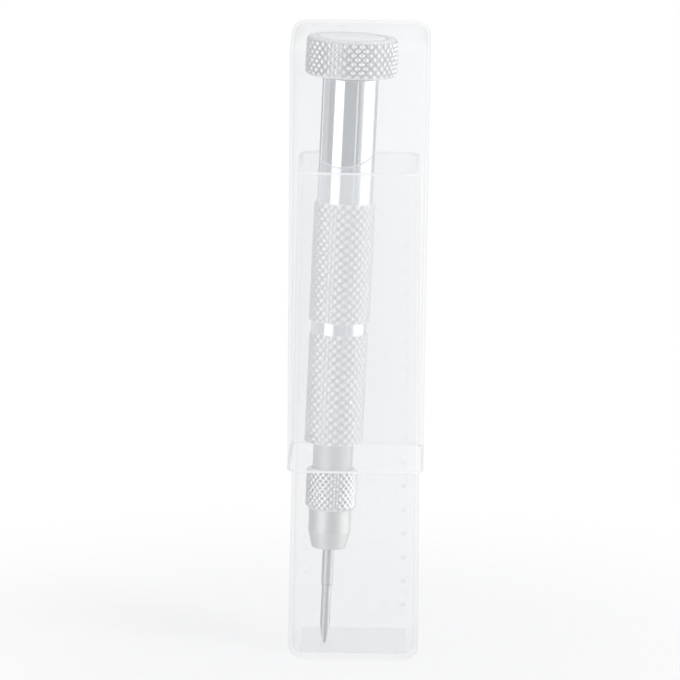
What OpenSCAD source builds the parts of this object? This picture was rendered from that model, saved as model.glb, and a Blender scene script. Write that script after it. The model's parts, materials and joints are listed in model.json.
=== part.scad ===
// Pocket screwdriver with a revolving head and a collet chuck, in its clear telescoping case.
// Millimetres. Z is up, X is to the right and Y is away from the front of the case.
// The closed case stands on its base, and the driver leans inside it with its tip down.

/* [Case] */
// Width of the clear base across its flats, at its closed end
base_w = 21.5; // [20.5:0.1:24]
// Width of the base across its flats, at its open rim
base_rim_w = 20; // [19.4:0.1:20.4]
// Height of the base from its foot to its rim
base_h = 82; // [60:1:90]
// Height of the base that shows below the cap
base_showing_h = 32; // [20:1:48]
// Wall thickness of the base
base_wall = 0.6; // [0.4:0.05:0.8]
// Thickness of the base's floor
base_floor_t = 1; // [0.6:0.1:2]
// Wall thickness of the cap
cap_wall = 0.5; // [0.4:0.05:0.8]
// Thickness of the cap's closed end
cap_top_t = 0.6; // [0.4:0.1:1.5]
// Extra width of the cap at its closed end
cap_flare = 0.6; // [0:0.1:1.2]
// Gap between the cap's mouth and the base on each side
slide_gap = 0.2; // [0.1:0.05:0.4]
// Radius of the upright corners
case_corner_r = 2.6; // [2.4:0.1:4]
// Radius round the closed ends
case_end_r = 2.2; // [1.2:0.1:2.3]

/* [Case detents] */
// Distance from one detent nub to the next
nub_pitch = 4; // [3:0.5:6]
// Width of a nub where it leaves the wall
nub_w = 1.6; // [1:0.1:2.4]
// Height of the lowest nub's middle above the foot
nub_first_z = 10.4; // [6:0.1:14]
// Least height of plain wall between the highest nub's middle and the rim
nub_end_clear = 10; // [2:0.5:20]
// Width of a dimple in the cap
dimple_w = 1.8; // [1:0.1:2.6]
// Height of the dimples' middle above the cap's mouth
dimple_up = 5.6; // [3:0.1:12]

/* [Head] */
// Diameter of the knurled revolving head
head_d = 15.2; // [13:0.1:17]
// Height of the head
head_h = 6.3; // [5.6:0.1:9]
// Bevel round the head's edges
head_bevel = 0.45; // [0.2:0.05:0.8]
// Diameter of the disc pressed into the head's top
cover_d = 11.6; // [9:0.1:12]
// Thickness of that disc
cover_t = 0.8; // [0.5:0.1:1.2]
// Thickness of the head's web that turns on the pivot
head_web_t = 2.6; // [2:0.1:3]
// Diameter of the pivot screw's plain shoulder
pivot_d = 3; // [2.4:0.1:3.4]
// Diameter of the pivot screw's thread
pivot_thread_d = 2.4; // [1.8:0.1:2.6]
// Length of the pivot screw's thread
pivot_thread_len = 5.6; // [4:0.1:6]
// Diameter of the pivot screw's head
pivot_head_d = 5.6; // [4.6:0.1:6.4]
// Height of the pivot screw's head
pivot_head_h = 1.2; // [0.8:0.1:1.4]
// Thickness of the washers on the pivot
washer_t = 0.3; // [0.2:0.05:0.5]

/* [Handle] */
// Diameter of the polished barrel
barrel_d = 9.2; // [8.4:0.1:9.4]
// Diameter of the barrel's bore, which stores the spare blades
barrel_bore_d = 6.2; // [6:0.1:7]
// Length of bare barrel between the upper grip and the head
barrel_bare_len = 20.6; // [14:0.1:26]
// Diameter of the upper knurled grip
upper_grip_d = 10.2; // [9.8:0.1:12]
// Length of the upper grip
upper_grip_len = 19.9; // [14:0.1:26]
// Length of bare barrel between the two grips
band_len = 1.95; // [1:0.05:4]
// Diameter of the lower knurled grip
lower_grip_d = 9.8; // [9.6:0.1:12]
// Length of the lower grip
lower_grip_len = 18.3; // [14:0.1:24]
// Bevel on the ends of the grips
grip_bevel = 0.3; // [0.15:0.05:0.45]
// Length of the plug that closes the bore under the head
plug_len = 6.6; // [6.2:0.1:9]

/* [Chuck] */
// Diameter of the plain neck between the handle and the collar
neck_d = 6.6; // [6.4:0.1:7]
// Length of the neck that shows
neck_len = 4.4; // [3:0.1:7]
// Diameter of the knurled collar
collar_d = 8.4; // [8:0.1:10]
// Length of the collar
collar_len = 6.8; // [5:0.1:9]
// Bevel on the ends of the collar
collar_bevel = 0.45; // [0.2:0.05:0.55]
// Diameter of the smooth nose
nose_d = 7; // [6.9:0.1:7.4]
// Diameter of the nose at its tip
nose_tip_d = 5.7; // [5:0.1:6.4]
// Length of the nose below the collar
nose_len = 6.6; // [5.5:0.1:8]
// Length of the nose's outer taper
nose_taper_len = 2.8; // [1.5:0.1:4]
// Diameter of the chuck body's threaded end, inside the nose
thread_d = 5.4; // [5.2:0.1:5.7]
// Length of the chuck body's stub inside the barrel
stub_len = 8; // [6:0.1:10]
// Diameter of the collet's body
collet_d = 4.4; // [4:0.1:4.8]
// Diameter of the collet's tail inside the chuck body
collet_tail_d = 3.3; // [2.8:0.1:3.6]
// Length of the collet's tail
collet_tail_len = 5; // [3:0.1:6]
// Length of the collet's outer cone
collet_cone_len = 3.4; // [2.4:0.1:3.8]
// Width of the slots between the collet's jaws
collet_slot_w = 0.4; // [0.2:0.05:0.6]

/* [Blades] */
// Diameter of a blade's shank
blade_d = 1.9; // [1.6:0.1:2]
// Overall length of a blade
blade_len = 37; // [34:0.1:40]
// Length of blade that shows below the nose
blade_reach = 16; // [12:0.1:18]
// Diameter of the blade's reduced end
blade_end_d = 1.6; // [1.2:0.1:1.6]
// Length of the blade's reduced end
blade_end_len = 10.9; // [6:0.1:11.5]
// Length over which the tip thins
tip_len = 3.9; // [2:0.1:5]
// Thickness of the edge that turns the screw
tip_t = 0.5; // [0.3:0.05:0.8]
// Diameter of the narrow spare blade's end
narrow_end_d = 1.2; // [1:0.1:1.4]
// Edge thickness of the narrow spare blade
narrow_tip_t = 0.3; // [0.2:0.05:0.5]
// Length of the cross blade's pointed tip
cross_tip_len = 2; // [1.5:0.1:3]
// Diameter of the cross blade's blunt point
cross_point_d = 0.5; // [0.3:0.05:0.8]
// Width of the cross blade's wings
cross_wing_t = 0.35; // [0.25:0.05:0.5]

/* [Hidden] */
$fn = 48;

// Overrun of every cut
cut = 0.5;
// Radial gap of a fit that stays put, such as a press fit or a tightened thread
fixed_gap = 0.02;
// Gap of a fit that turns or slides, each side
turn_gap = 0.05;
// Gap beneath the driver's tip
seat_gap = 0.3;
// Gap that the head leaves to the cap's wall at its mouth, the cap's narrowest place
head_gap = 0.2;
// Free height between the head and the cap
head_room = 0.7;
// Gap that the nubs and dimples leave to the wall they pass
detent_gap = 0.05;
// Depth at which the neck enters the collar
neck_cover = 1.2;
// Depth of the collet's front end inside the nose
collet_inset = 0.3;
// Wall of the nose round its front hole
nose_lip = 1.25;
// Free length of the bore behind the blade
blade_back_gap = 0.3;
// Gap beneath the spare blades, and the width of a blunt edge on the turned parts
spare_gap = 0.1;
small_bevel = 0.15;
// Number of flats that round the convex sides of a tip
tip_steps = 8;
// Number of spare blades, and the share of the bore's free radius at which they stand
spare_count = 3;
spare_place_share = 0.88;
// Where the driver stands: shares of the free half width, to the left, and to the back (negative: forward)
tip_left_share = 0.53;
tip_back_share = -0.26;
head_left_share = 0.44;
// Sideways places of the nubs and dimples, as shares of the wall's half width
nub_side_share = 0.78;
dimple_front_share = 0.66;
dimple_side_share = 0.6;

// Lengths along the driver's axis, counted from its tip
u_nose = blade_reach;
u_collar = u_nose + nose_len;
u_collar_top = u_collar + collar_len;
u_handle = u_collar_top + neck_len;
u_band = u_handle + lower_grip_len;
u_upper = u_band + band_len;
u_bare = u_upper + upper_grip_len;
u_barrel_top = u_bare + barrel_bare_len;
u_head = u_barrel_top + washer_t + 2 * turn_gap;
u_top = u_head + head_h;
u_neck = u_collar_top - neck_cover;
u_thread = u_collar + turn_gap;
u_collet = u_nose + collet_inset;
u_cone_top = u_collet + collet_cone_len;
u_stub_top = u_handle + stub_len;
u_web_top = u_head + head_web_t;
u_pivot_head = u_web_top + washer_t + 2 * turn_gap;

// Half width of the base's outside at height z, and of the cap's inside and outside
function base_half(z) =
    (base_w + (base_rim_w - base_w) * (z - case_end_r) / (base_h - case_end_r)) / 2;
cap_mouth_w = 2 * (base_half(base_showing_h) + slide_gap + cap_wall);
cap_w = cap_mouth_w + cap_flare;
cap_inner_half = cap_w / 2 - cap_wall;
base_inner_half = base_w / 2 - base_wall;

// Place and lean of the driver: its tip stands on the floor and its head leans on the back wall
head_mid = u_head + head_h / 2;
tip_x = -tip_left_share * (base_inner_half - blade_d / 2);
tip_y = tip_back_share * (base_inner_half - blade_d / 2);
tip_z = base_floor_t + seat_gap;
head_x = -head_left_share * (cap_inner_half - head_d / 2);
head_y = cap_mouth_w / 2 - cap_wall - head_d / 2 - head_gap;
lean_back = asin((head_y - tip_y) / head_mid);
lean_side = asin((head_x - tip_x) / (head_mid * cos(lean_back)));
lean_cos = cos(lean_back) * cos(lean_side);
lean_sin = sqrt(1 - lean_cos * lean_cos);
cap_top_z = tip_z + u_top * lean_cos + head_d / 2 * lean_sin + head_room + cap_top_t;
cap_len = cap_top_z - base_showing_h;

// Radius of the ball whose cap stands proud of a wall by rise, over a circle of the given width
function ball_r(width, rise) = (width * width / 4 + rise * rise) / (2 * rise);
nub_rise = slide_gap - detent_gap;
nub_r = ball_r(nub_w, nub_rise);
nub_count = 1 + floor((base_h - nub_first_z - nub_end_clear) / nub_pitch);

// Places children in the driver's own axes: tip at the origin, Z along the driver
module in_driver() {
    translate([tip_x, tip_y, tip_z]) rotate([-lean_back, lean_side, 0]) children();
}

// Solid of revolution from an outline of radius and length along the driver
module turned(outline) {
    in_driver() rotate_extrude() polygon(outline);
}

// Outline of a ring with bevelled outer edges
function ring_outline(inner_d, outer_d, low, high, bevel) = [
    [inner_d / 2, low],
    [outer_d / 2 - bevel, low],
    [outer_d / 2, low + bevel],
    [outer_d / 2, high - bevel],
    [outer_d / 2 - bevel, high],
    [inner_d / 2, high]
];

// One corner of a case half: a quarter round turned about the corner's own axis
module case_corner(corner_r, end_r) {
    rotate_extrude($fn = 32)
        polygon(concat(
            [[0, 0]],
            [for (step = [0:6])
                [corner_r - end_r + end_r * sin(15 * step), end_r - end_r * cos(15 * step)]],
            [[0, end_r]]
        ));
}

// Rounded square can, closed end at the origin, open end at height h
module can(end_w, open_w, h, corner_r, end_r) {
    hull() {
        for (sx = [-1, 1], sy = [-1, 1]) {
            translate([sx * (end_w / 2 - corner_r), sy * (end_w / 2 - corner_r), 0])
                case_corner(corner_r, end_r);
            translate([sx * (open_w / 2 - corner_r), sy * (open_w / 2 - corner_r), h - end_r])
                cylinder(r = corner_r, h = end_r, $fn = 32);
        }
    }
}

module can_cavity(end_w, open_w, h, wall, floor_t) {
    translate([0, 0, floor_t])
        can(end_w - 2 * wall, open_w - 2 * wall, h - floor_t + cut,
            case_corner_r - wall, case_end_r - wall);
}

// Column of detent nubs on the front wall of the base
module nub_column() {
    for (i = [0:nub_count - 1]) {
        z = nub_first_z + i * nub_pitch;
        translate([nub_side_share * base_half(z), -(base_half(z) + nub_rise - nub_r), z])
            sphere(r = nub_r);
    }
}

module case_base() {
    color("whitesmoke", 0.5)
    difference() {
        union() {
            can(base_w, base_rim_w, base_h, case_corner_r, case_end_r);
            for (turn = [0, 180]) rotate([0, 0, turn]) nub_column();
        }
        can_cavity(base_w, base_rim_w, base_h, base_wall, base_floor_t);
    }
}

// Blunt cones that press dimples into the cap: one on a front wall and one on a side wall, on each half
module dimple_cones(depth) {
    z = base_showing_h + dimple_up;
    half = cap_mouth_w / 2 - cap_wall;
    spread = 1 + cut / nub_rise;
    for (turn = [0, 180]) rotate([0, 0, turn]) {
        translate([-dimple_front_share * half, depth - half, z]) rotate([90, 0, 0])
            cylinder(d1 = dimple_w / 2, d2 = dimple_w / 2 * (1 + spread), h = nub_rise + cut);
        translate([half - depth, -dimple_side_share * half, z]) rotate([0, 90, 0])
            cylinder(d1 = dimple_w / 2, d2 = dimple_w / 2 * (1 + spread), h = nub_rise + cut);
    }
}

module case_cap() {
    color("white", 0.5)
    difference() {
        translate([0, 0, cap_top_z]) mirror([0, 0, 1])
            can(cap_w, cap_mouth_w, cap_len, case_corner_r, case_end_r);
        difference() {
            translate([0, 0, cap_top_z]) mirror([0, 0, 1])
                can_cavity(cap_w, cap_mouth_w, cap_len, cap_wall, cap_top_t);
            dimple_cones(nub_rise);
        }
        dimple_cones(nub_rise - cap_wall);
    }
}

module head_knob() {
    pocket_d = pivot_head_d + 2 * head_bevel;
    u_cover = u_top - cover_t;
    color("lightgray")
    turned([
        [pivot_d / 2 + turn_gap, u_head],
        [head_d / 2 - head_bevel, u_head],
        [head_d / 2, u_head + head_bevel],
        [head_d / 2, u_top - head_bevel],
        [head_d / 2 - head_bevel, u_top],
        [cover_d / 2 + fixed_gap, u_top],
        [cover_d / 2 + fixed_gap, u_cover - fixed_gap],
        [pocket_d / 2, u_cover - fixed_gap],
        [pocket_d / 2, u_web_top],
        [pivot_d / 2 + turn_gap, u_web_top]
    ]);
}

module head_cover() {
    color("silver")
    turned([
        [0, u_top - cover_t],
        [cover_d / 2, u_top - cover_t],
        [cover_d / 2, u_top - small_bevel],
        [cover_d / 2 - small_bevel, u_top],
        [0, u_top]
    ]);
}

module pivot_screw() {
    color("gray")
    turned([
        [0, u_barrel_top - pivot_thread_len],
        [pivot_thread_d / 2 - small_bevel, u_barrel_top - pivot_thread_len],
        [pivot_thread_d / 2, u_barrel_top - pivot_thread_len + small_bevel],
        [pivot_thread_d / 2, u_barrel_top],
        [pivot_d / 2, u_barrel_top],
        [pivot_d / 2, u_pivot_head],
        [pivot_head_d / 2, u_pivot_head],
        [pivot_head_d / 2, u_pivot_head + pivot_head_h - small_bevel],
        [pivot_head_d / 2 - small_bevel, u_pivot_head + pivot_head_h],
        [0, u_pivot_head + pivot_head_h]
    ]);
}

// Flat ring on the pivot's shoulder, its lower face at the given length
module washer(outer_d, low) {
    turned(ring_outline(pivot_d + 2 * turn_gap, outer_d, low, low + washer_t, 0));
}

module thrust_washer() {
    color("goldenrod") washer(barrel_d - 2 * small_bevel, u_barrel_top + turn_gap);
}

module spring_washer() {
    color("dimgray") washer(pivot_head_d - 2 * small_bevel, u_web_top + turn_gap);
}

module end_plug() {
    u_low = u_barrel_top - plug_len;
    color("darkgray")
    difference() {
        turned(ring_outline(0, barrel_bore_d - 2 * fixed_gap, u_low, u_barrel_top, small_bevel));
        in_driver() translate([0, 0, u_barrel_top - pivot_thread_len - fixed_gap])
            cylinder(d = pivot_thread_d + 2 * fixed_gap, h = pivot_thread_len + cut);
    }
}

module barrel() {
    color("gainsboro")
    turned(ring_outline(barrel_bore_d, barrel_d, u_handle, u_barrel_top, small_bevel));
}

// Knurled sleeve pressed over the barrel
module grip_sleeve(outer_d, low, len) {
    bore_d = barrel_d + 2 * fixed_gap;
    bevel = min(grip_bevel, (outer_d - bore_d) / 4);
    turned(ring_outline(bore_d, outer_d, low, low + len, bevel));
}

module upper_grip() {
    color("darkgray") grip_sleeve(upper_grip_d, u_upper, upper_grip_len);
}

module lower_grip() {
    color("darkgray") grip_sleeve(lower_grip_d, u_handle, lower_grip_len);
}

module chuck_body() {
    color("gray")
    difference() {
        turned([
            [0, u_thread],
            [thread_d / 2 - small_bevel, u_thread],
            [thread_d / 2, u_thread + small_bevel],
            [thread_d / 2, u_neck],
            [neck_d / 2, u_neck],
            [neck_d / 2, u_handle - fixed_gap],
            [barrel_bore_d / 2 - fixed_gap, u_handle - fixed_gap],
            [barrel_bore_d / 2 - fixed_gap, u_stub_top - small_bevel],
            [barrel_bore_d / 2 - fixed_gap - small_bevel, u_stub_top],
            [0, u_stub_top]
        ]);
        in_driver() {
            translate([0, 0, u_thread - cut])
                cylinder(d = collet_tail_d + 2 * turn_gap, h = collet_tail_len + turn_gap + cut);
            translate([0, 0, u_thread - cut])
                cylinder(d = blade_d + 2 * turn_gap, h = blade_len + blade_back_gap - u_thread + cut);
        }
    }
}

module collet() {
    tip_ring_d = nose_tip_d - 2 * nose_lip;
    bore_d = blade_d + 2 * turn_gap;
    color("rosybrown")
    difference() {
        turned([
            [bore_d / 2, u_collet],
            [tip_ring_d / 2 - turn_gap, u_collet],
            [collet_d / 2, u_cone_top],
            [collet_d / 2, u_thread - turn_gap],
            [collet_tail_d / 2, u_thread - turn_gap],
            [collet_tail_d / 2, u_thread + collet_tail_len - turn_gap],
            [bore_d / 2, u_thread + collet_tail_len - turn_gap]
        ]);
        in_driver() for (turn = [45, 135]) rotate([0, 0, turn])
            translate([-collet_d, -collet_slot_w / 2, u_collet - cut])
                cube([2 * collet_d, collet_slot_w, u_thread - u_collet + cut]);
    }
}

module chuck_nose() {
    front_hole_d = nose_tip_d - 2 * nose_lip;
    cavity_d = collet_d + 2 * turn_gap;
    u_sleeve_top = u_neck - turn_gap;
    color("darkgray")
    turned([
        [front_hole_d / 2, u_nose],
        [nose_tip_d / 2 - small_bevel, u_nose],
        [nose_tip_d / 2, u_nose + small_bevel],
        [nose_d / 2, u_nose + nose_taper_len],
        [nose_d / 2, u_sleeve_top],
        [thread_d / 2 + turn_gap, u_sleeve_top],
        [thread_d / 2 + turn_gap, u_thread - turn_gap],
        [cavity_d / 2, u_thread - turn_gap],
        [cavity_d / 2, u_cone_top],
        [front_hole_d / 2, u_collet]
    ]);
}

module chuck_collar() {
    color("gainsboro")
    turned([
        [nose_d / 2 + fixed_gap, u_collar],
        [collar_d / 2 - collar_bevel, u_collar],
        [collar_d / 2, u_collar + collar_bevel],
        [collar_d / 2, u_collar_top - collar_bevel],
        [collar_d / 2 - collar_bevel, u_collar_top],
        [neck_d / 2 + turn_gap, u_collar_top],
        [neck_d / 2 + turn_gap, u_neck - turn_gap + fixed_gap],
        [nose_d / 2 + fixed_gap, u_neck - turn_gap + fixed_gap]
    ]);
}

// Screw-turning edge: a round bar thinned by two convex sides, edge at the origin
module flat_tip(d, edge_t) {
    function side(share) = edge_t / 2 + (d - edge_t) / 2 * sin(90 * share);
    shares = [for (step = [0:tip_steps]) step / tip_steps];
    intersection() {
        cylinder(d = d, h = tip_len);
        rotate([90, 0, 0]) linear_extrude(height = 2 * d, center = true)
            polygon(concat(
                [for (share = shares) [side(share), tip_len * share]],
                [for (i = [tip_steps:-1:0]) [-side(shares[i]), tip_len * shares[i]]]
            ));
    }
}

// Cross-shaped point: a blunt cone with its four quarters cut away
module cross_tip(d) {
    difference() {
        cylinder(d1 = cross_point_d, d2 = d, h = cross_tip_len);
        for (turn = [0:90:270]) rotate([0, 0, turn])
            translate([cross_wing_t / 2, cross_wing_t / 2, 0])
                rotate([0, -atan(d / 2 / cross_tip_len), 0])
                    translate([0, 0, -cross_tip_len])
                        cube([d, d, 2 * cross_tip_len]);
    }
}

// Stepped shank above a tip of the given length, its top end bevelled
module shank(end_d, end_from, end_len) {
    rotate_extrude()
        polygon([
            [0, end_from],
            [end_d / 2, end_from],
            [end_d / 2, end_len],
            [blade_d / 2, end_len + (blade_d - end_d) / 2],
            [blade_d / 2, blade_len - small_bevel],
            [blade_d / 2 - small_bevel, blade_len],
            [0, blade_len]
        ]);
}

module flat_blade(end_d, edge_t, end_len) {
    union() {
        flat_tip(end_d, edge_t);
        shank(end_d, tip_len, end_len);
    }
}

module blade() {
    color("gray") in_driver() flat_blade(blade_end_d, tip_t, blade_end_len);
}

// Places a spare blade in the barrel's bore, tip up, standing on the chuck body
module in_store(index) {
    place_r = spare_place_share * (barrel_bore_d - blade_d) / 2;
    in_driver() rotate([0, 0, index * 360 / spare_count])
        translate([place_r, 0, u_stub_top + spare_gap + blade_len]) mirror([0, 0, 1])
            children();
}

module spare_blade_wide() {
    color("dimgray") in_store(0) flat_blade(blade_d - 2 * fixed_gap, tip_t, blade_end_len);
}

module spare_blade_narrow() {
    color("dimgray") in_store(1) flat_blade(narrow_end_d, narrow_tip_t, blade_end_len);
}

module spare_blade_cross() {
    color("dimgray") in_store(2) union() {
        cross_tip(blade_end_d);
        shank(blade_end_d, cross_tip_len, blade_end_len);
    }
}

case_base();
case_cap();
head_knob();
head_cover();
pivot_screw();
thrust_washer();
spring_washer();
end_plug();
barrel();
upper_grip();
lower_grip();
chuck_body();
collet();
chuck_nose();
chuck_collar();
blade();
spare_blade_wide();
spare_blade_narrow();
spare_blade_cross();
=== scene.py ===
"""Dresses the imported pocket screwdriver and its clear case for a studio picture.

Lengths are in metres.
"""

import json
import math

import bmesh
import bpy
from mathutils import Matrix, Vector


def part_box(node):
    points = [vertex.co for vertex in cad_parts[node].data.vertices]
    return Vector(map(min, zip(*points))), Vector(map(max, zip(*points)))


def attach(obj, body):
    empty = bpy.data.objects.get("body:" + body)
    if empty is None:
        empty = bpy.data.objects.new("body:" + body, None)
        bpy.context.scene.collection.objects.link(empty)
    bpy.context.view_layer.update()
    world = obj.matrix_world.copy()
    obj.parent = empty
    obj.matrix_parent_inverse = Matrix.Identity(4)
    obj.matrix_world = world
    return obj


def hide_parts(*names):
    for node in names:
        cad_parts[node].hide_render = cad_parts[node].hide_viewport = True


bl_info = {
    "name": "Pocket screwdriver in its clear case",
    "version": (1, 0, 0),
    "blender": (4, 5, 0),
    "location": "3D View > Sidebar > Screwdriver",
    "description": "Builds the visible pieces of a pocket screwdriver and its telescoping case",
    "category": "Object",
}

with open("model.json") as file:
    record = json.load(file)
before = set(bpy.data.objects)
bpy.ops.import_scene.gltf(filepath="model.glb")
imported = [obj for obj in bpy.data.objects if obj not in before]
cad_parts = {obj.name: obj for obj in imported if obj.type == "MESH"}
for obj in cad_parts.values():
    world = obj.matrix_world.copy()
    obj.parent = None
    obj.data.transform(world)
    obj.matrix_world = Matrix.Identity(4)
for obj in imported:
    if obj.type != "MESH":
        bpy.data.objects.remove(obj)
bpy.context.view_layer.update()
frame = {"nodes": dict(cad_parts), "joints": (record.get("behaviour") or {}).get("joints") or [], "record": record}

MM = 0.001


# ---- Settings

def length_setting(name, description, millimetres):
    """Property for a length, with its first value in millimetres."""
    return bpy.props.FloatProperty(
        name=name, description=description, default=millimetres * MM, unit="LENGTH"
    )


class CaseSettings(bpy.types.PropertyGroup):
    """Looks and small sizes of the clear case."""

    plastic_colour: bpy.props.StringProperty(
        name="Plastic colour", description="Colour of the plastic's veil, as sRGB hex",
        default="#EFF1F2",
    )
    # The colour towards which the painted shade greys the plastic's veil.
    shade_colour: bpy.props.StringProperty(
        name="Thick plastic's colour",
        description="Colour of the veil where the plastic is thick, as sRGB hex",
        default="#C0C2C4",
    )
    veil: bpy.props.FloatProperty(
        name="Veil", description="Share of the light that one face of the plastic stops",
        default=0.2, min=0.02, max=0.6, subtype="FACTOR",
    )
    edge_shade: bpy.props.FloatProperty(
        name="Edge shade", description="How grey the veil turns where the wall is seen edge-on",
        default=0.75, min=0.0, max=1.0, subtype="FACTOR",
    )
    corner_radius: length_setting("Corner radius", "Radius of the upright corners", 2.6)
    end_radius: length_setting("End radius", "Radius round the closed ends", 2.2)
    rim_round: length_setting("Rim rounding", "Rounding of the moulded rims", 0.12)
    base_wall: length_setting("Base wall", "Wall thickness of the base", 0.6)
    base_floor: length_setting("Base floor", "Thickness of the base's floor", 1.0)
    base_rim_width: length_setting("Base rim width", "Width of the base at its open rim", 20.0)
    base_foot_width: length_setting("Base foot width", "Width of the base at its foot", 21.5)
    cap_wall: length_setting("Cap wall", "Wall thickness of the cap", 0.5)
    cap_top: length_setting("Cap top", "Thickness of the cap's closed end", 0.6)
    cap_flare: length_setting("Cap flare", "Extra width of the cap at its closed end", 0.6)
    nub_pitch: length_setting("Nub pitch", "Distance from one detent nub to the next", 4.0)
    nub_width: length_setting("Nub width", "Width of a detent nub", 1.6)
    nub_rise: length_setting("Nub rise", "How far a nub stands proud", 0.15)
    nub_first: length_setting("First nub", "Height of the lowest nub's middle", 10.4)
    nub_count: bpy.props.IntProperty(
        name="Nubs", description="Nubs in a column", default=16, min=1
    )
    dimple_width: length_setting("Dimple width", "Width of a dimple in the cap", 1.9)
    dimple_depth: length_setting("Dimple depth", "Depth of a dimple in the cap", 0.15)
    dimple_up: length_setting("Dimple height", "Height of the dimples above the cap's mouth", 5.6)


class DriverSettings(bpy.types.PropertyGroup):
    """Small sizes of the driver's turned and knurled pieces."""

    head_points: bpy.props.IntProperty(
        name="Head points", description="Knurl points round the head", default=33, min=8
    )
    grip_points: bpy.props.IntProperty(
        name="Grip points", description="Knurl points round the upper grip", default=22, min=8
    )
    collar_points: bpy.props.IntProperty(
        name="Collar lines", description="Knurl lines round the collar", default=23, min=8
    )
    coarse_pitch: length_setting(
        "Knurl pitch", "Pitch of the head's and grips' knurl along them", 1.43
    )
    fine_pitch: length_setting("Fine knurl pitch", "Pitch of the collar's knurl along it", 1.15)
    head_depth: length_setting("Head knurl depth", "Depth of the head's knurl", 0.32)
    grip_depth: length_setting("Grip knurl depth", "Depth of the grips' knurl", 0.24)
    collar_depth: length_setting("Collar knurl depth", "Depth of the collar's knurl", 0.26)
    edge_round: length_setting("Edge rounding", "Rounding of polished edges", 0.06)


class StageSettings(bpy.types.PropertyGroup):
    """Camera and light."""

    azimuth: bpy.props.FloatProperty(
        name="Azimuth", description="How far the camera stands to the right of the front",
        subtype="ANGLE", default=math.radians(0.73),
    )
    elevation: bpy.props.FloatProperty(
        name="Elevation", description="How far the camera stands above the level",
        subtype="ANGLE", default=math.radians(12),
    )
    roll: bpy.props.FloatProperty(
        name="Roll", description="Turn of the picture", subtype="ANGLE",
        default=math.radians(0.68),
    )
    distance: bpy.props.FloatProperty(
        name="Distance", description="From the camera to the point it looks at", default=1.2,
        unit="LENGTH",
    )
    lens: bpy.props.FloatProperty(
        name="Lens", description="Focal length in millimetres over a 36 mm sensor",
        default=384.58,
    )
    ambient: bpy.props.FloatProperty(
        name="Ambient", description="Strength of the studio's even light", default=0.915
    )
    key: bpy.props.FloatProperty(
        name="Key lamp", description="Power of the lamp above, in watts", default=2.9, min=0.0
    )


def settings_of(kind):
    """The scene's settings group of that kind: case, driver or stage."""
    return getattr(bpy.context.scene, f"screwdriver_{kind}")


# ---- Where the driver lies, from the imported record

record = frame["record"]
tip = Vector(next(m["pos_m"] for m in record["mounts"] if m["name"] == "blade_tip"))
axis = Vector(next(j["axis"] for j in frame["joints"] if j["name"] == "head_turn")).normalized()
side = Vector((axis.z, 0, -axis.x)).normalized()
driver = Matrix((side, axis.cross(side), axis)).transposed()
in_driver = Matrix.Translation(tip) @ driver.to_4x4()
to_driver = in_driver.inverted()


def span(node):
    """Where a CAD node begins and ends along the driver, and its largest radius."""
    points = [to_driver @ v.co for v in frame["nodes"][node].data.vertices]
    lengths = [p.z for p in points]
    return min(lengths), max(lengths), max(p.xy.length for p in points)


# ---- Colours and nodes

def linear(hex_colour):
    """Linear RGBA of an sRGB hex colour."""
    channels = [int(hex_colour[i:i + 2], 16) / 255 for i in (1, 3, 5)]
    return tuple(
        c / 12.92 if c <= 0.04045 else ((c + 0.055) / 1.055) ** 2.4 for c in channels
    ) + (1.0,)


def add_node(tree, kind, settings=None, inputs=None):
    """Adds a node, sets its properties, and gives each input a value or a link."""
    node = tree.nodes.new(kind)
    for name, value in (settings or {}).items():
        setattr(node, name, value)
    for name, value in (inputs or {}).items():
        if isinstance(value, bpy.types.NodeSocket):
            tree.links.new(value, node.inputs[name])
        else:
            node.inputs[name].default_value = value
    return node


def calculate(tree, operation, *values, clamp=False):
    """Adds a math node over values or links, and gives its result."""
    node = add_node(
        tree, "ShaderNodeMath", {"operation": operation, "use_clamp": clamp},
        dict(enumerate(values)),
    )
    return node.outputs["Value"]


def new_material(name, **sockets):
    """Empty material with one Principled shader and its plain socket values."""
    material = bpy.data.materials.new(name)
    material.use_nodes = True
    tree = material.node_tree
    tree.nodes.clear()
    values = {key.replace("_", " "): value for key, value in sockets.items()}
    shader = add_node(tree, "ShaderNodeBsdfPrincipled", inputs=values)
    output = add_node(tree, "ShaderNodeOutputMaterial")
    tree.links.new(shader.outputs["BSDF"], output.inputs["Surface"])
    return material, tree, shader


def noise_along_driver(tree, stretch=(1, 1, 1), scale=1.0):
    """Noise from 0 to 1 with Z along the driver; stretch times scale is marks per metre."""
    place = add_node(tree, "ShaderNodeTexCoord")
    turned = add_node(
        tree, "ShaderNodeMapping", {"vector_type": "TEXTURE"},
        {"Vector": place.outputs["Object"], "Location": tip, "Rotation": driver.to_euler()},
    )
    stretched = add_node(
        tree, "ShaderNodeMapping", inputs={"Vector": turned.outputs["Vector"], "Scale": stretch}
    )
    noise = add_node(
        tree, "ShaderNodeTexNoise",
        inputs={"Vector": stretched.outputs["Vector"], "Scale": scale, "Detail": 2.0},
    )
    return noise.outputs["Fac"]


def give_tint(tree, shader, pattern, low, high):
    """Lets a pattern from 0 to 1 move the colour between two sRGB hex colours."""
    tint = add_node(
        tree, "ShaderNodeMix", {"data_type": "RGBA"},
        {"Factor": pattern, "A": linear(low), "B": linear(high)},
    )
    tree.links.new(tint.outputs["Result"], shader.inputs["Base Color"])


def give_roughness(tree, shader, pattern, low, high):
    """Lets a pattern from 0 to 1 move the roughness between two values."""
    spread = add_node(
        tree, "ShaderNodeMapRange", inputs={"Value": pattern, "To Min": low, "To Max": high}
    )
    tree.links.new(spread.outputs["Result"], shader.inputs["Roughness"])


def give_bump(tree, shader, pattern, distance):
    """Raises the surface by a pattern from 0 to 1 times a real height."""
    bump = add_node(
        tree, "ShaderNodeBump", inputs={"Height": pattern, "Strength": 1.0, "Distance": distance}
    )
    tree.links.new(bump.outputs["Normal"], shader.inputs["Normal"])


# ---- Materials

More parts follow.
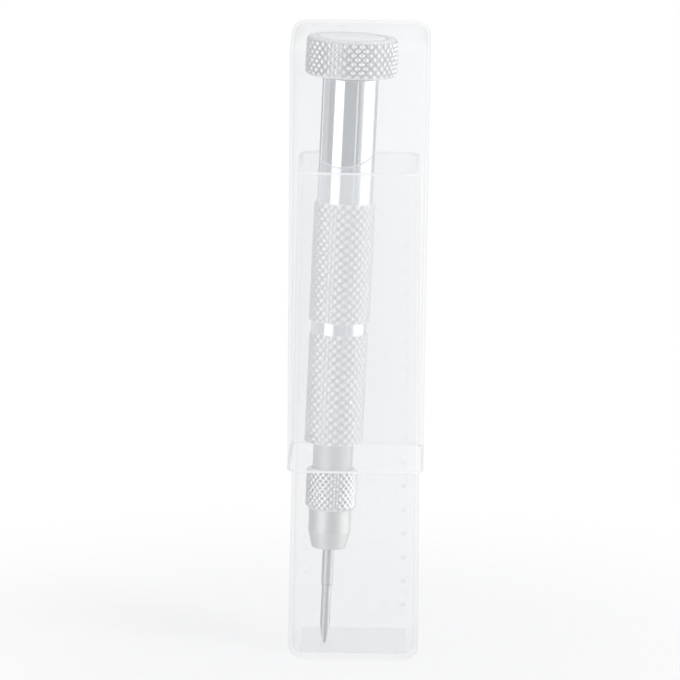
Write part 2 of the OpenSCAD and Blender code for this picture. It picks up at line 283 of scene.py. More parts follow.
def frosted_polypropylene(name):
    """Thin blow-moulded polypropylene: a milky veil that lets light through, with a soft gloss."""
    settings = settings_of("case")
    # A faint painted glow, standing in for light that wanders inside the haze, lifts it a little everywhere.
    painted_glow = 0.07
    material, tree, shader = new_material(
        name, IOR=1.49, Specular_IOR_Level=0.25, Emission_Color=linear("#FFFFFF"),
        Emission_Strength=painted_glow,
    )
    # Shade is painted into the veil where the wall is seen at a slant: it turns greyer there, standing
    # in for the longer path through the haze.
    slant = add_node(tree, "ShaderNodeLayerWeight", inputs={"Blend": 0.5})
    steep = calculate(tree, "POWER", slant.outputs["Facing"], 3.0)
    # The mesh's shade attribute greys it further: painted shade on the case's floor, which rests low and
    # gets less light, and on one half of each nub and dimple; the base also turns greyer towards its foot.
    shade = add_node(tree, "ShaderNodeAttribute", {"attribute_name": "shade"})
    grey = calculate(
        tree, "MULTIPLY_ADD", steep, settings.edge_shade, shade.outputs["Fac"], clamp=True
    )
    give_tint(tree, shader, grey, settings.plastic_colour, settings.shade_colour)
    # Flow marks of the moulding, 9 mm long and 2 mm wide, change the veil by about a hundredth.
    flow_change = 0.012
    place = add_node(tree, "ShaderNodeTexCoord")
    stretched = add_node(
        tree, "ShaderNodeMapping",
        inputs={"Vector": place.outputs["Object"], "Scale": (500, 500, 110)},
    )
    flow = add_node(
        tree, "ShaderNodeTexNoise",
        inputs={"Vector": stretched.outputs["Vector"], "Scale": 1.0, "Detail": 3.0},
    )
    veil = add_node(
        tree, "ShaderNodeMapRange",
        inputs={
            "Value": flow.outputs["Fac"], "From Min": 0.3, "From Max": 0.7,
            "To Min": settings.veil - flow_change, "To Max": settings.veil + flow_change,
        },
    )
    # Rims and the floor are looked at along the plastic, so they veil more. The nubs and dimples veil
    # more on their painted-shade half and less on their painted-highlight half.
    dense_veil = 0.6
    dense = add_node(tree, "ShaderNodeAttribute", {"attribute_name": "dense"})
    alpha = calculate(
        tree, "MULTIPLY_ADD", dense.outputs["Fac"], dense_veil, veil.outputs["Result"], clamp=True
    )
    # The haze scatters light mostly forward, so it dims falling light less than the view.
    forward_share = 0.86
    path = add_node(tree, "ShaderNodeLightPath")
    falling = calculate(
        tree, "MAXIMUM", path.outputs["Is Shadow Ray"], path.outputs["Is Diffuse Ray"]
    )
    kept = calculate(tree, "MULTIPLY_ADD", falling, -forward_share, 1.0)
    tree.links.new(calculate(tree, "MULTIPLY", alpha, kept), shader.inputs["Alpha"])
    # The moulded wall is not quite flat: waves 3 mm long and 1.5 micrometres high.
    waves = add_node(
        tree, "ShaderNodeTexNoise",
        inputs={"Vector": place.outputs["Object"], "Scale": 330.0, "Detail": 0.0},
    )
    give_bump(tree, shader, waves.outputs["Fac"], 0.0015 * MM)
    give_roughness(tree, shader, flow.outputs["Fac"], 0.3, 0.42)
    return material


def buffed_chrome_plate(name):
    """Chrome plate over a buffed tube: a clear mirror with the faintest buffing lines round it."""
    material, tree, shader = new_material(name, Base_Color=linear("#E3E5E8"), Metallic=1.0)
    # Buffing lines lie round the tube, drawn 0.25 mm apart so that they show.
    lines = noise_along_driver(tree, (60, 60, 4000))
    give_roughness(tree, shader, lines, 0.03, 0.1)
    give_bump(tree, shader, lines, 0.0006 * MM)
    return material


def knurled_chrome_plate(name):
    """Chrome plate over a rolled knurl: bright crests, with shade painted darker down the grooves."""
    material, tree, shader = new_material(name, Metallic=1.0)
    # Painted shade: the plate darkens from the crests down into the grooves.
    depth = add_node(tree, "ShaderNodeAttribute", {"attribute_name": "groove"})
    down = add_node(
        tree, "ShaderNodeMapRange", inputs={"Value": depth.outputs["Fac"], "From Min": 0.05}
    )
    give_tint(tree, shader, down.outputs["Result"], "#E4E5E7", "#A6A8AA")
    # Grit of the plated knurl, 0.12 mm across.
    grit = noise_along_driver(tree, scale=8000.0)
    give_bump(tree, shader, grit, 0.004 * MM)
    give_roughness(tree, shader, grit, 0.26, 0.4)
    return material


def turned_nickel(name, dull, bright):
    """Nickel plate over fine turning: a soft grey sheen stretched along the piece."""
    material, tree, shader = new_material(name, Metallic=1.0)
    # Turning lines round the piece, 0.1 mm apart in life, drawn 0.2 mm apart so that they show.
    lines = noise_along_driver(tree, (40, 40, 5000))
    give_tint(tree, shader, lines, dull, bright)
    give_roughness(tree, shader, lines, 0.48, 0.62)
    give_bump(tree, shader, lines, 0.001 * MM)
    return material


def turned_nickel_plate(name):
    """Turned nickel of the nose, which the photograph shows lighter than the neck."""
    return turned_nickel(name, "#C4C4C3", "#D8D8D7")


def turned_nickel_shaded(name):
    """Turned nickel painted greyer as shade, of the chuck's body with its neck, which sits in shade
    between the collar and the grips, and of the plug in the handle.
    """
    return turned_nickel(name, "#A0A09F", "#B4B4B3")


def ground_steel(name):
    """Hardened tool steel, ground along the blade: grey with fine lengthwise lines."""
    material, tree, shader = new_material(name, Metallic=1.0)
    # Grinding lines along the blade, 0.08 mm wide.
    lines = noise_along_driver(tree, (12000, 12000, 250))
    give_tint(tree, shader, lines, "#ABACAE", "#C8C9CB")
    give_roughness(tree, shader, lines, 0.38, 0.55)
    give_bump(tree, shader, lines, 0.0008 * MM)
    return material


def turned_brass(name):
    """Brass of the thrust washer, turned and a little dulled."""
    material, tree, shader = new_material(name, Metallic=1.0)
    rings = noise_along_driver(tree, scale=3000.0)
    give_tint(tree, shader, rings, "#A8864A", "#CBAB6A")
    give_roughness(tree, shader, rings, 0.22, 0.36)
    return material


MAKERS = {
    "frosted_polypropylene": frosted_polypropylene,
    "buffed_chrome_plate": buffed_chrome_plate,
    "knurled_chrome_plate": knurled_chrome_plate,
    "turned_nickel_plate": turned_nickel_plate,
    "turned_nickel_shaded": turned_nickel_shaded,
    "ground_steel": ground_steel,
    "turned_brass": turned_brass,
}


def finish_of(name):
    """The material of that name, made on its first use."""
    return bpy.data.materials.get(name) or MAKERS[name](name)


# ---- Mesh helpers

SHARP_ANGLE = math.radians(34)
MERGE_GAP = 0.0005 * MM


def mesh_of(bm, name, material):
    """Turns a bmesh into a mesh of one material."""
    mesh = bpy.data.meshes.new(name)
    bm.to_mesh(mesh)
    bm.free()
    mesh.materials.append(material)
    return mesh


def add_object(name, data):
    """Puts a new object into the scene."""
    made = bpy.data.objects.new(name, data)
    bpy.context.scene.collection.objects.link(made)
    return made


def finish_piece(bm, name, finish, body, nodes, sharp=SHARP_ANGLE):
    """Makes a bmesh a smooth object that rides on a body and stands for its CAD nodes."""
    for face in bm.faces:
        face.smooth = True
    for edge in bm.edges:
        edge.smooth = not (edge.is_manifold and edge.calc_face_angle() > sharp)
    piece = add_object(name, mesh_of(bm, name, finish_of(finish)))
    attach(piece, body)
    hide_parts(*nodes)


def lathe(outline, steps, closed=True):
    """Solid of revolution about Z from (radius, height) pairs; open outlines end on the axis."""
    bm = bmesh.new()
    verts = [bm.verts.new((radius, 0, height)) for radius, height in outline]
    edges = [bm.edges.new(pair) for pair in zip(verts, verts[1:])]
    if closed:
        edges.append(bm.edges.new((verts[-1], verts[0])))
    bmesh.ops.spin(
        bm, geom=verts + edges, cent=(0, 0, 0), axis=(0, 0, 1), angle=math.tau, steps=steps,
        use_merge=True,
    )
    bmesh.ops.remove_doubles(bm, verts=bm.verts, dist=MERGE_GAP)
    bmesh.ops.recalc_face_normals(bm, faces=bm.faces)
    return bm


def round_sharp_rings(bm, width):
    """Rounds the sharp rings of a lathed piece."""
    rings = [
        e for e in bm.edges
        if e.is_manifold and e.calc_face_angle() > SHARP_ANGLE and e.verts[0].co.xy.length > width
    ]
    bmesh.ops.bevel(
        bm, geom=rings, offset=width, segments=2, affect="EDGES", profile=0.5, material=-1,
        clamp_overlap=True,
    )


def ring_outline(bore, radius, low, high, bevel):
    """Outline of a ring with bevelled outer edges."""
    return [
        (bore, low), (radius - bevel, low), (radius, low + bevel),
        (radius, high - bevel), (radius - bevel, high), (bore, high),
    ]


def knurled_ring(inside, radius, low, high, bevel, around, row_pitch, depth, raised_points):
    """Bevelled ring whose outer face is cut by two crossing helical grooves into a diamond knurl.

    Inside lists the inner outline from the top down. Raised points have the grooves along the
    helices; otherwise the helices are ridges with pits between them.
    """
    samples = 8
    ridge_width = 1.5
    foot, head = low + bevel, high - bevel
    rows = round((head - foot) / row_pitch * samples)
    pitch = (head - foot) / rows * samples
    face = [(radius, foot + pitch / samples * i) for i in range(rows + 1)]
    bm = lathe(inside + [(radius - bevel, low)] + face + [(radius - bevel, high)], around * samples)
    groove = bm.verts.layers.float.new("groove")
    for vert in bm.verts:
        if vert.co.xy.length < radius - depth / 4:
            continue
        turn = math.atan2(vert.co.y, vert.co.x) / math.tau * around
        climb = (vert.co.z - foot) / pitch
        first = 2 * ((turn + climb) % 1) - 1
        second = 2 * ((turn - climb) % 1) - 1
        bulge = (1 - first * first) * (1 - second * second)
        sunk = 1 - bulge if raised_points else bulge ** ridge_width
        vert[groove] = sunk
        scale = (radius - depth * sunk) / radius
        vert.co.x *= scale
        vert.co.y *= scale
    return bm


# ---- Case

BEND_STEPS = 8
CORNER_POINTS = 9

# What the plastic's material reads from the mesh: dense veils more, shade turns the veil grey as
# painted shade.
RIM_DENSE = 0.9
# The spots' dense value veils their painted-shade half more and their painted-highlight half less.
SPOT_DENSE = 0.3
# The floor's shade is painted shade: the case's floor rests low and gets less light.
FLOOR_DENSE, FLOOR_SHADE = 0.3, 0.85
FOOT_SHADE = 0.26
CAP_END_SHADE = -0.25


def can_rings(low, high, low_width, high_width, wall, end_thickness, closed_low, settings):
    """Half width, corner radius and height of each ring of a can.

    The rings run from outside the closed end over the rim to inside it.
    """
    closed, opening, way = (low, high, 1) if closed_low else (high, low, -1)
    rim = settings.rim_round
    lip = 0.3 * rim

    def ring(height, inset):
        half = (low_width + (high_width - low_width) * (height - low) / (high - low)) / 2
        return half - inset, settings.corner_radius - inset, height

    def side(inset, end):
        """One skin, from its closed end to its rim."""
        radius = settings.end_radius - inset
        turns = [math.pi / 2 * i / BEND_STEPS for i in range(BEND_STEPS + 1)]
        bend = [
            ring(
                closed + way * (end + radius * (1 - math.cos(turn))),
                inset + radius * (1 - math.sin(turn)),
            )
            for turn in turns
        ]
        # The ring well inside the rim keeps the rim's denser look to a narrow line.
        return bend + [ring(opening - way * 4 * rim, inset), ring(opening - way * rim, inset)]

    over = [
        ring(opening - way * lip, lip), ring(opening, rim), ring(opening, wall - rim),
        ring(opening - way * lip, wall - lip),
    ]
    return side(0, 0) + over + side(wall, end_thickness)[::-1]


def ring_look(rings, number, high, closed_low, settings):
    """How dense and how grey one ring of a can looks, counted as can_rings does."""
    height = rings[number][2]
    # The base's floor veils more, seen along the plastic, and takes painted shade, as it rests low and gets less
    # light.
    if closed_low and number == len(rings) - 1:
        return FLOOR_DENSE, FLOOR_SHADE
    # The base's veil turns a little greyer towards its foot. The cap's end takes back part of the
    # painted edge shade, so it stays light though it is seen at a slant.
    if closed_low:
        shade = FOOT_SHADE * (1 - height / high)
    else:
        shade = CAP_END_SHADE * max(0.0, 1 - (high - height) / settings.end_radius)
    at_rim = BEND_STEPS + 1 < number < len(rings) - BEND_STEPS - 2
    return (RIM_DENSE if at_rim else 0.0), shade


def thin_can(low, high, low_width, high_width, wall, end_thickness, closed_low, settings):
    """Drafted square can with round corners, one closed end and a round rim, as one shell."""
    rings = can_rings(low, high, low_width, high_width, wall, end_thickness, closed_low, settings)
    bm = bmesh.new()
    station = bm.verts.layers.int.new("station")
    dense = bm.verts.layers.float.new("dense")
    shade = bm.verts.layers.float.new("shade")
    circle = bmesh.ops.create_circle(bm, cap_ends=True, radius=1.0, segments=4 * CORNER_POINTS)
    front = circle["verts"]
    for number, vert in enumerate(front):
        vert[station] = number
    for number, (half, radius, height) in enumerate(rings):
        if number:
            members = set(front)
            edges = list({e for v in front for e in v.link_edges if members.issuperset(e.verts)})
            made = bmesh.ops.extrude_edge_only(bm, edges=edges)["geom"]
            front = [v for v in made if isinstance(v, bmesh.types.BMVert)]
        look = ring_look(rings, number, high, closed_low, settings)
        for vert in front:
            corner, place = divmod(vert[station], CORNER_POINTS)
            turn = math.pi / 2 * (corner + place / (CORNER_POINTS - 1))
            centre = Vector((half - radius, half - radius))
            centre.rotate(Matrix.Rotation(math.pi / 2 * corner, 2))
            vert.co = (
                centre.x + radius * math.cos(turn), centre.y + radius * math.sin(turn), height
            )
            vert[dense], vert[shade] = look
    members = set(front)
    bmesh.ops.edgeloop_fill(
        bm, edges=list({e for v in front for e in v.link_edges if members.issuperset(e.verts)})
    )
    bmesh.ops.recalc_face_normals(bm, faces=bm.faces)
    return bm


def press_round(bm, place, outward, width, move, skins, dark_side):
    """Raises or presses a round spot of a flat wall by a smooth profile, with painted shade on one half.

    Move is the profile: metres outward for a share of the spot's radius. Skins is how deep below
    the outer face the wall's faces are moved too. Dark side is 1 or -1: the half, upper or lower,
    that gets painted shade, greyer and more veiled; the other half is veiled less, as a painted
    highlight.
    """
    dense, shade = bm.verts.layers.float["dense"], bm.verts.layers.float["shade"]
    up = Vector((0, 0, 1))
    across = up.cross(outward)
    radius = width / 2
    reach = width * 0.55
    square_on = 0.98

    def on_wall(face):
        away = (place - face.calc_center_median()).dot(face.normal)
        return abs(face.normal.dot(outward)) > square_on and abs(away) < skins

    def inside(point):
        offset = point - place
        aside = max(abs(offset.dot(across)), abs(offset.dot(up)))
        return aside < reach and abs(offset.dot(outward)) < skins

    for direction in (up, across):
        for way in (-1, 1):
            faces = [
                f for f in bm.faces
                if on_wall(f)
                and (direction == up or abs(f.calc_center_median().z - place.z) < reach)
            ]
            edges = list({e for f in faces for e in f.edges})
            verts = list({v for f in faces for v in f.verts})
            bmesh.ops.bisect_plane(
                bm, geom=verts + edges + faces, plane_co=place + direction * reach * way,
                plane_no=direction,
            )
    patch = [f for f in bm.faces if on_wall(f) and inside(f.calc_center_median())]
    bmesh.ops.subdivide_edges(
        bm, edges=list({e for f in patch for e in f.edges}), cuts=9, use_grid_fill=True
    )
    for vert in bm.verts:
        if inside(vert.co):
            offset = vert.co - place
            from_middle = (offset - outward * offset.dot(outward)).length / radius
            if from_middle < 1:
                vert.co += outward * move(from_middle)
                # Painted shade greys and veils one half of the spot; the other half is veiled less, a painted
                # highlight.
                slope = dark_side * offset.dot(up) / radius
                vert[shade] += max(0.0, slope)
                vert[dense] = SPOT_DENSE * slope


class SCREWDRIVER_OT_case_base(bpy.types.Operator):
    """Builds the case's base, with its two columns of detent nubs"""

    bl_idname = "screwdriver.case_base"
    bl_label = "Case base"

    def execute(self, context):
        settings = settings_of("case")
        foot, rim = (corner.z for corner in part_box("case_base"))
        foot_width, rim_width = settings.base_foot_width, settings.base_rim_width
        bm = thin_can(
            foot, rim, foot_width, rim_width, settings.base_wall, settings.base_floor,
            closed_low=True, settings=settings,
        )
        nub_side_share = 0.78
        for way in (-1, 1):
            for i in range(settings.nub_count):
                height = settings.nub_first + i * settings.nub_pitch
                half = (foot_width + (rim_width - foot_width) * (height - foot) / (rim - foot)) / 2
                # Each nub's lower half gets painted shade and its upper half a painted highlight.
                press_round(
                    bm, Vector((-way * nub_side_share * half, way * half, height)),
                    Vector((0, way, 0)), settings.nub_width,
                    lambda share: settings.nub_rise * (1 - share * share),
                    skins=MM / 4, dark_side=-1,
                )
        finish_piece(
            bm, "case_base_shell", "frosted_polypropylene", "case_base",
            ["case_base"],
        )
        return {"FINISHED"}


class SCREWDRIVER_OT_case_cap(bpy.types.Operator):
    """Builds the case's cap, with its four pressed dimples"""

    bl_idname = "screwdriver.case_cap"
    bl_label = "Case cap"

    def execute(self, context):
        settings = settings_of("case")
        low_corner, high_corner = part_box("case_cap")
        mouth, top = low_corner.z, high_corner.z
        top_width = high_corner.x - low_corner.x
        mouth_width = top_width - settings.cap_flare
        bm = thin_can(
            mouth, top, mouth_width, top_width, settings.cap_wall, settings.cap_top,
            closed_low=False, settings=settings,
        )
        dimple_front_share, dimple_side_share = 0.66, 0.6
        half = mouth_width / 2
        height = mouth + settings.dimple_up
        for way in (-1, 1):
            front = Vector((way * dimple_front_share * half, way * half, height))
            flank = Vector((-way * half, way * dimple_side_share * half, height))
            for place, outward in ((front, Vector((0, way, 0))), (flank, Vector((-way, 0, 0)))):
                # Each dimple's upper half gets painted shade and its lower half a painted highlight.
                press_round(
                    bm, place, outward, settings.dimple_width,
                    lambda share: -settings.dimple_depth * (0.5 + 0.5 * math.cos(math.pi * share)),
                    skins=MM, dark_side=1,
                )
        finish_piece(
            bm, "case_cap_shell", "frosted_polypropylene", "case_cap",
            ["case_cap"],
        )
        return {"FINISHED"}


# ---- Driver

def place_on_driver(bm):
    """Moves a piece that was built about Z to its place along the driver."""
    bmesh.ops.transform(bm, matrix=in_driver, verts=bm.verts)


class SCREWDRIVER_OT_handle(bpy.types.Operator):
    """Builds the polished barrel and the two knurled grips"""

    bl_idname = "screwdriver.handle"
    bl_label = "Handle"

    def execute(self, context):
        settings = settings_of("driver")
        low, high, radius = span("barrel")
        bore, bevel = 3.1 * MM, 0.12 * MM
        barrel = lathe(ring_outline(bore, radius, low, high, bevel), steps=160)
        round_sharp_rings(barrel, settings.edge_round)
        place_on_driver(barrel)
        finish_piece(
            barrel, "barrel_tube", "buffed_chrome_plate", "driver", ["barrel"]
        )
        sleeve_bore = radius + 0.02 * MM
        least_wall = 0.04 * MM
        for node, points in (
            ("upper_grip", settings.grip_points), ("lower_grip", settings.grip_points - 1)
        ):
            low, high, crest = span(node)
            wall = crest - sleeve_bore
            bevel = min(0.3 * MM, wall / 2)
            depth = min(settings.grip_depth, wall - least_wall)
            grip = knurled_ring(
                [(sleeve_bore, high), (sleeve_bore, low)], crest, low, high, bevel, points,
                settings.coarse_pitch, depth, raised_points=True,
            )
            place_on_driver(grip)
            finish_piece(
                grip, f"{node}_knurl", "knurled_chrome_plate", "driver", [node]
            )
        return {"FINISHED"}


class SCREWDRIVER_OT_head(bpy.types.Operator):
    """Builds the revolving head and the disc in its top"""

    bl_idname = "screwdriver.head"
    bl_label = "Revolving head"

    def execute(self, context):
        settings = settings_of("driver")
        low, high, crest = span("head_knob")
        cover_low, cover_high, cover_radius = span("head_cover")
        pivot_bore, pocket, web, bevel = 1.55 * MM, 3.25 * MM, 2.6 * MM, 0.45 * MM
        seat = cover_radius + 0.02 * MM
        inside = [
            (seat, high), (seat, cover_low), (pocket, cover_low), (pocket, low + web),
            (pivot_bore, low + web), (pivot_bore, low),
        ]
        head = knurled_ring(
            inside, crest, low, high, bevel, settings.head_points, settings.coarse_pitch,
            settings.head_depth, raised_points=True,
        )
        place_on_driver(head)
        finish_piece(
            head, "head_knurl", "knurled_chrome_plate", "head", ["head_knob"]
        )
        # The disc is dished by 0.05 mm inside a rounded edge.
        rise = 0.05 * MM
        disc = lathe(
            [
                (0, cover_low), (cover_radius, cover_low), (cover_radius, cover_high - 3 * rise),
                (cover_radius - 3 * rise, cover_high),
                (cover_radius - 8 * rise, cover_high - rise), (0, cover_high - rise),
            ],
            steps=128, closed=False,
        )
        place_on_driver(disc)
        finish_piece(
            disc, "head_disc", "buffed_chrome_plate", "head", ["head_cover"]
        )
        return {"FINISHED"}


class SCREWDRIVER_OT_chuck(bpy.types.Operator):
    """Builds the chuck's body with its neck, the nose and the knurled collar"""

    bl_idname = "screwdriver.chuck"
    bl_label = "Chuck"

    def execute(self, context):
        settings = settings_of("driver")
        handle_low = span("barrel")[0]
        nose_low, nose_high, nose_radius = span("chuck_nose")
        collar_low, collar_high, collar_radius = span("chuck_collar")
        body_low, body_high, neck_radius = span("chuck_body")
        thread, stub, bore, blunt = 2.7 * MM, 3.08 * MM, 1.0 * MM, 0.15 * MM
        neck_low = nose_high + 0.05 * MM
        neck_high = handle_low - 0.02 * MM
        body = lathe(
            [
                (bore, body_low), (thread - blunt, body_low), (thread, body_low + blunt),
                (thread, neck_low), (neck_radius, neck_low), (neck_radius, neck_high),
                (stub, neck_high), (stub, body_high - blunt), (stub - blunt, body_high),
                (bore, body_high),
            ],
            steps=128,
        )
        place_on_driver(body)
        # The neck takes the nickel's darker copy, painted shade for its place between the collar and the grips.
        finish_piece(
            body, "chuck_body_turned", "turned_nickel_shaded", "driver",
            ["chuck_body"],
        )
        # The nose is hollow: a wide bore for the thread, a sleeve, and a cone that shuts the jaws.
        tip_radius, taper, front_hole, wide_bore = 2.85 * MM, 2.8 * MM, 1.6 * MM, 2.75 * MM
        sleeve = 2.25 * MM
        sleeve_high, cone_high, cone_low = (nose_low + up * MM for up in (6.6, 3.7, 0.3))
        nose = lathe(
            [
                (front_hole, nose_low), (tip_radius - blunt, nose_low),
                (tip_radius, nose_low + blunt), (nose_radius, nose_low + taper),
                (nose_radius, nose_high), (wide_bore, nose_high), (wide_bore, sleeve_high),
                (sleeve, sleeve_high), (sleeve, cone_high), (front_hole, cone_low),
            ],
            steps=128,
        )
        place_on_driver(nose)
        # A smaller angle counts as sharp here, so that the taper's shallow edge stays crisp.
        finish_piece(
            nose, "chuck_nose_turned", "turned_nickel_plate", "chuck",
            ["chuck_nose"], sharp=math.radians(8),
        )
        collar_bore, bevel = nose_radius + 0.02 * MM, 0.45 * MM
        collar = knurled_ring(
            [(collar_bore, collar_high), (collar_bore, collar_low)], collar_radius, collar_low,
            collar_high, bevel, settings.collar_points, settings.fine_pitch,
            settings.collar_depth, raised_points=False,
        )
        place_on_driver(collar)
        finish_piece(
            collar, "chuck_collar_knurl", "knurled_chrome_plate", "chuck",
            ["chuck_collar"],
        )
        return {"FINISHED"}


class SCREWDRIVER_OT_blade(bpy.types.Operator):
    """Builds the stepped blade with its flat ground tip"""

    bl_idname = "screwdriver.blade"
    bl_label = "Blade"

    def execute(self, context):
        low, high, shank = span("blade")
        end_radius, end_length, tip_length, edge = 0.8 * MM, 9.7 * MM, 3.9 * MM, 0.5 * MM
        blunt = 0.15 * MM
        step_low = low + end_length
        rings = 24
        tip_rings = [(end_radius, low + tip_length * i / rings) for i in range(rings + 1)]
        blade = lathe(
            [(0, low)] + tip_rings + [
                (end_radius, step_low), (shank, step_low + shank - end_radius),
                (shank, high - blunt), (shank - blunt, high), (0, high),
            ],
            steps=96, closed=False,
        )
        # Two convex sides are ground to the edge: every ring near the tip is cut back to them.
        for vert in blade.verts:
            if vert.co.z < low + tip_length:
                share = (vert.co.z - low) / tip_length
                reach = edge / 2 + (end_radius - edge / 2) * math.sin(math.pi / 2 * share)
                vert.co.x = max(-reach, min(reach, vert.co.x))
        bmesh.ops.dissolve_degenerate(blade, dist=MERGE_GAP, edges=blade.edges)
        place_on_driver(blade)
        finish_piece(blade, "blade_ground", "ground_steel", "driver", ["blade"])
        return {"FINISHED"}


class SCREWDRIVER_OT_inner_pieces(bpy.types.Operator):
    """Gives the CAD pieces that stay, hidden inside the driver, their metals"""

    bl_idname = "screwdriver.inner_pieces"
    bl_label = "Inner pieces"

    def execute(self, context):
        metals = {
            "collet": "ground_steel", "pivot_screw": "ground_steel",
            "spring_washer": "ground_steel", "thrust_washer": "turned_brass",
            "end_plug": "turned_nickel_shaded", "spare_blade_wide": "ground_steel",
            "spare_blade_narrow": "ground_steel", "spare_blade_cross": "ground_steel",
        }
        for node, metal in metals.items():
            materials = frame["nodes"][node].data.materials
            materials.clear()
            materials.append(finish_of(metal))
        return {"FINISHED"}


# ---- Stage

MODEL_MIDDLE = Vector((0, 0, 0.05))


def around(azimuth, distance, height):
    """Place at an azimuth counted from the camera's side towards the right, in degrees."""
    turn = math.radians(azimuth)
    return Vector((math.sin(turn) * distance, -math.cos(turn) * distance, height))


def add_lamp(name, shape, width, height, power, place):
    """Area lamp that points at the model and that the camera doesn't see."""
    lamp = bpy.data.lights.new(name, "AREA")
    lamp.shape = shape
    lamp.size, lamp.size_y, lamp.energy = width, height, power
    holder = add_object(name, lamp)
    holder.location = place
    holder.rotation_euler = (MODEL_MIDDLE - place).to_track_quat("-Z", "Y").to_euler()
    holder.visible_camera = False
    return holder


def add_card(name, first, last, material):
    """Curved card from one azimuth to another, which only reflections see."""
    distance, foot, head, degrees_per_step = 1.3, -0.7, 0.6, 4
    bm = bmesh.new()
    verts = [bm.verts.new(around(first, distance, z)) for z in (foot, head)]
    edge = bm.edges.new(verts)
    bmesh.ops.spin(
        bm, geom=verts + [edge], cent=(0, 0, 0), axis=(0, 0, 1), angle=math.radians(last - first),
        steps=max(4, round((last - first) / degrees_per_step)),
    )
    card = add_object(name, mesh_of(bm, name, material))
    card.visible_camera = card.visible_diffuse = False
    card.visible_shadow = card.visible_transmission = False


def floor_material():
    """Pale matt floor that keeps a soft shadow and fades into the white round it."""
    fade_start, fade_end, own_light = 0.03, 0.11, 0.42
    material, tree, shader = new_material(
        "pale_floor", Base_Color=linear("#F4F4F4"), Roughness=0.9
    )
    output = next(n for n in tree.nodes if n.type == "OUTPUT_MATERIAL")
    place = add_node(tree, "ShaderNodeTexCoord")
    reach = add_node(
        tree, "ShaderNodeVectorMath", {"operation": "LENGTH"}, {0: place.outputs["Object"]}
    )
    fade = add_node(
        tree, "ShaderNodeMapRange", {"interpolation_type": "SMOOTHSTEP"},
        {"Value": reach.outputs["Value"], "From Min": fade_start, "From Max": fade_end},
    )
    # The camera sees nearly half the floor's white as its own light, so the floor is white and a
    # shadow still shows.
    path = add_node(tree, "ShaderNodeLightPath")
    matt = add_node(tree, "ShaderNodeBsdfDiffuse", inputs={"Color": linear("#BEBEBE")})
    glow = add_node(
        tree, "ShaderNodeEmission", inputs={"Color": (1, 1, 1, 1), "Strength": own_light}
    )
    lit = add_node(tree, "ShaderNodeAddShader", inputs={0: matt.outputs[0], 1: glow.outputs[0]})
    seen = add_node(
        tree, "ShaderNodeMixShader",
        inputs={0: path.outputs["Is Camera Ray"], 1: shader.outputs["BSDF"], 2: lit.outputs[0]},
    )
    clear = add_node(tree, "ShaderNodeBsdfTransparent")
    faded = add_node(
        tree, "ShaderNodeMixShader",
        inputs={0: fade.outputs["Result"], 1: seen.outputs[0], 2: clear.outputs[0]},
    )
    tree.links.new(faded.outputs[0], output.inputs["Surface"])
    return material


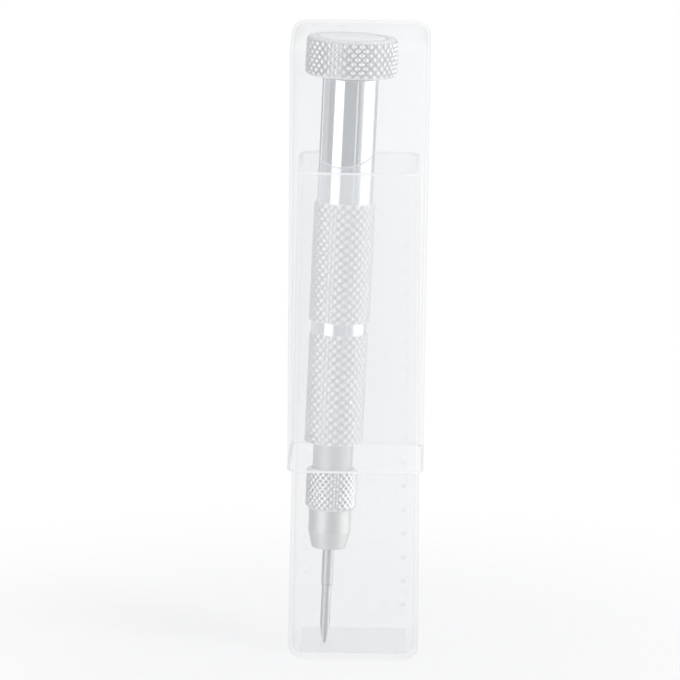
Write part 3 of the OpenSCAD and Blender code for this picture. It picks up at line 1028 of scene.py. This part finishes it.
class SCREWDRIVER_OT_stage(bpy.types.Operator):
    """Sets the camera, the floor, the lamps and the world"""

    bl_idname = "screwdriver.stage"
    bl_label = "Stage"

    def execute(self, context):
        settings = settings_of("stage")
        self.add_camera(settings)
        self.add_floor()
        self.add_world(settings)
        self.add_lights(settings)
        self.add_cards()
        context.scene.view_settings.view_transform = "Standard"
        # The camera looks through eight faces of the case where its halves overlap.
        context.scene.cycles.transparent_max_bounces = 24
        return {"FINISHED"}

    def add_camera(self, settings):
        target = Vector((-2.849 * MM, 0, 52.08 * MM))
        level = math.cos(settings.elevation)
        back = Vector((
            math.sin(settings.azimuth) * level, -math.cos(settings.azimuth) * level,
            math.sin(settings.elevation),
        ))
        right = Vector((0, 0, 1)).cross(back).normalized()
        up = back.cross(right)
        turn = Matrix.Rotation(settings.roll, 3, back)
        right, up = turn @ right, turn @ up
        place = Matrix((right, up, back)).transposed().to_4x4()
        place.translation = target + back * settings.distance
        lens = bpy.data.cameras.new("camera")
        lens.lens, lens.sensor_width = settings.lens, 36
        camera = add_object("camera", lens)
        camera.matrix_world = place
        bpy.context.scene.camera = camera

    def add_floor(self):
        bm = bmesh.new()
        bmesh.ops.create_circle(bm, cap_ends=True, radius=0.12, segments=96)
        floor = add_object("floor", mesh_of(bm, "floor", floor_material()))
        floor.visible_glossy = False

    def add_world(self, settings):
        world = bpy.data.worlds.new("studio")
        bpy.context.scene.world = world
        world.use_nodes = True
        tree = world.node_tree
        tree.nodes.clear()
        # What is seen, plainly or in a reflection, is pure white; what lights is a little less.
        path = add_node(tree, "ShaderNodeLightPath")
        seen = path.outputs["Is Camera Ray"]
        for ray in ("Is Glossy Ray", "Is Transmission Ray"):
            seen = calculate(tree, "MAXIMUM", seen, path.outputs[ray])
        white = add_node(
            tree, "ShaderNodeBackground", inputs={"Color": (1, 1, 1, 1), "Strength": 1.0}
        )
        even = add_node(
            tree, "ShaderNodeBackground",
            inputs={"Color": linear("#FCFDFF"), "Strength": settings.ambient},
        )
        mixed = add_node(
            tree, "ShaderNodeMixShader", inputs={0: seen, 1: even.outputs[0], 2: white.outputs[0]}
        )
        output = add_node(tree, "ShaderNodeOutputWorld")
        tree.links.new(mixed.outputs[0], output.inputs["Surface"])

    def add_lights(self, settings):
        key = add_lamp("key", "DISK", 0.6, 0.6, settings.key, Vector((0.8, -0.45, 0.85)))
        key.visible_glossy = False
        # Two upright softboxes give the metal its white bands.
        for name, azimuth, width, power in (
            ("softbox_left", -43, 0.6, 3.6), ("softbox_right", 92, 1.0, 5.9)
        ):
            box = add_lamp(name, "RECTANGLE", width, 1.1, power, around(azimuth, 0.9, 0.0))
            box.visible_diffuse = False

    def add_cards(self):
        # Between these azimuths the barrel reflects dark, read from its bands in the photograph.
        cards = {
            "dark_card": ("#7C7C7D", [(-178, -142), (-92, -65), (-21, 30), (36, 46)]),
            "grey_card": ("#C4C4C5", [(-128, -92), (46, 55), (132, 170)]),
        }
        for kind, (colour, spans) in cards.items():
            material = new_material(kind, Base_Color=linear(colour), Roughness=1.0)[0]
            for first, last in spans:
                add_card(f"{kind}_{first}_{last}", first, last, material)


# ---- Add-on

class SCREWDRIVER_PT_panel(bpy.types.Panel):
    """Lists the builders of the screwdriver and its stage"""

    bl_label = "Screwdriver"
    bl_idname = "SCREWDRIVER_PT_panel"
    bl_space_type = "VIEW_3D"
    bl_region_type = "UI"
    bl_category = "Screwdriver"

    def draw(self, context):
        for builder in BUILDERS:
            self.layout.operator(builder.bl_idname)


BUILDERS = (
    SCREWDRIVER_OT_stage, SCREWDRIVER_OT_handle, SCREWDRIVER_OT_head, SCREWDRIVER_OT_chuck,
    SCREWDRIVER_OT_blade, SCREWDRIVER_OT_inner_pieces, SCREWDRIVER_OT_case_base,
    SCREWDRIVER_OT_case_cap,
)
SETTINGS = {"case": CaseSettings, "driver": DriverSettings, "stage": StageSettings}


def register():
    """Registers the settings, the builders and the panel."""
    for kind, group in SETTINGS.items():
        bpy.utils.register_class(group)
        setattr(bpy.types.Scene, f"screwdriver_{kind}", bpy.props.PointerProperty(type=group))
    for each in BUILDERS + (SCREWDRIVER_PT_panel,):
        bpy.utils.register_class(each)


def unregister():
    """Takes them away again."""
    for each in reversed(BUILDERS + (SCREWDRIVER_PT_panel,)):
        bpy.utils.unregister_class(each)
    for kind, group in SETTINGS.items():
        delattr(bpy.types.Scene, f"screwdriver_{kind}")
        bpy.utils.unregister_class(group)


def main():
    """Builds every piece in order."""
    register()
    bpy.ops.screwdriver.stage()
    bpy.ops.screwdriver.handle()
    bpy.ops.screwdriver.head()
    bpy.ops.screwdriver.chuck()
    bpy.ops.screwdriver.blade()
    bpy.ops.screwdriver.inner_pieces()
    bpy.ops.screwdriver.case_base()
    bpy.ops.screwdriver.case_cap()


if __name__ == "__main__":
    main()
